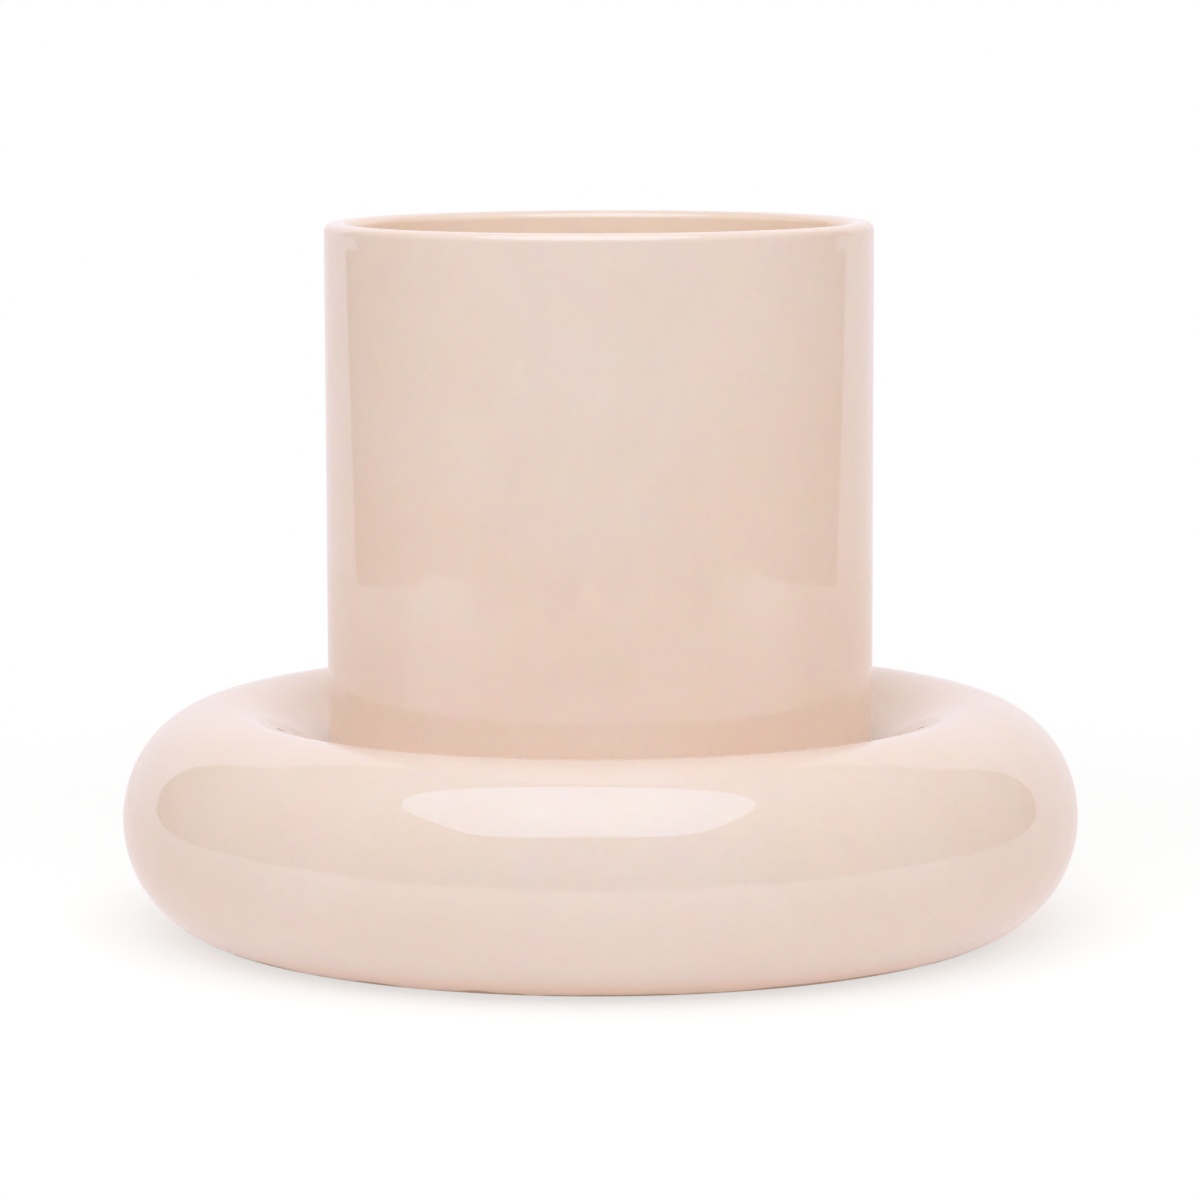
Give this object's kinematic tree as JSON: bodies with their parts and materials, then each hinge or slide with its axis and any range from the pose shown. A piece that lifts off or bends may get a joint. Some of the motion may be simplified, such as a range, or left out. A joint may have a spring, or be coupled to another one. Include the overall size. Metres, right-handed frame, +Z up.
{
  "type": "flower pot",
  "caption": "Straight glazed ceramic flower pot that stands in the well of a thick, doughnut-shaped ring saucer, with a flush drain plug and soft bumpers.",
  "frame": {"origin": "on the pot's axis, on the surface that the saucer's bumpers stand on", "axes": "+Z up along the pot's axis; -Y faces the picture's viewer"},
  "size_m": [0.2808, 0.2808, 0.2055],
  "materials": {
    "glaze": "glossy peach-beige glaze with faint mottling; bare stoneware on the feet",
    "rubber": "matt moulded rubber",
    "silicone": "milky silicone"
  },
  "bodies": {
    "saucer": {"ring_saucer": "glaze", "foot_bumper_1": "silicone", "foot_bumper_2": "silicone", "foot_bumper_3": "silicone", "foot_bumper_4": "silicone"},
    "pot": {"pot": "glaze", "seat_bumper_1": "silicone", "seat_bumper_2": "silicone", "seat_bumper_3": "silicone", "seat_bumper_4": "silicone"},
    "plug": {"drain_plug": "rubber"}
  },
  "joints": [
    {"name": "pot_lift", "type": "slide", "parent": "saucer", "child": "pot", "axis": [0, 0, 1], "range_m": [0, 0.08]},
    {"name": "plug_pull", "type": "slide", "parent": "pot", "child": "plug", "axis": [0, 0, 1], "range_m": [0, 0.04]}
  ]
}
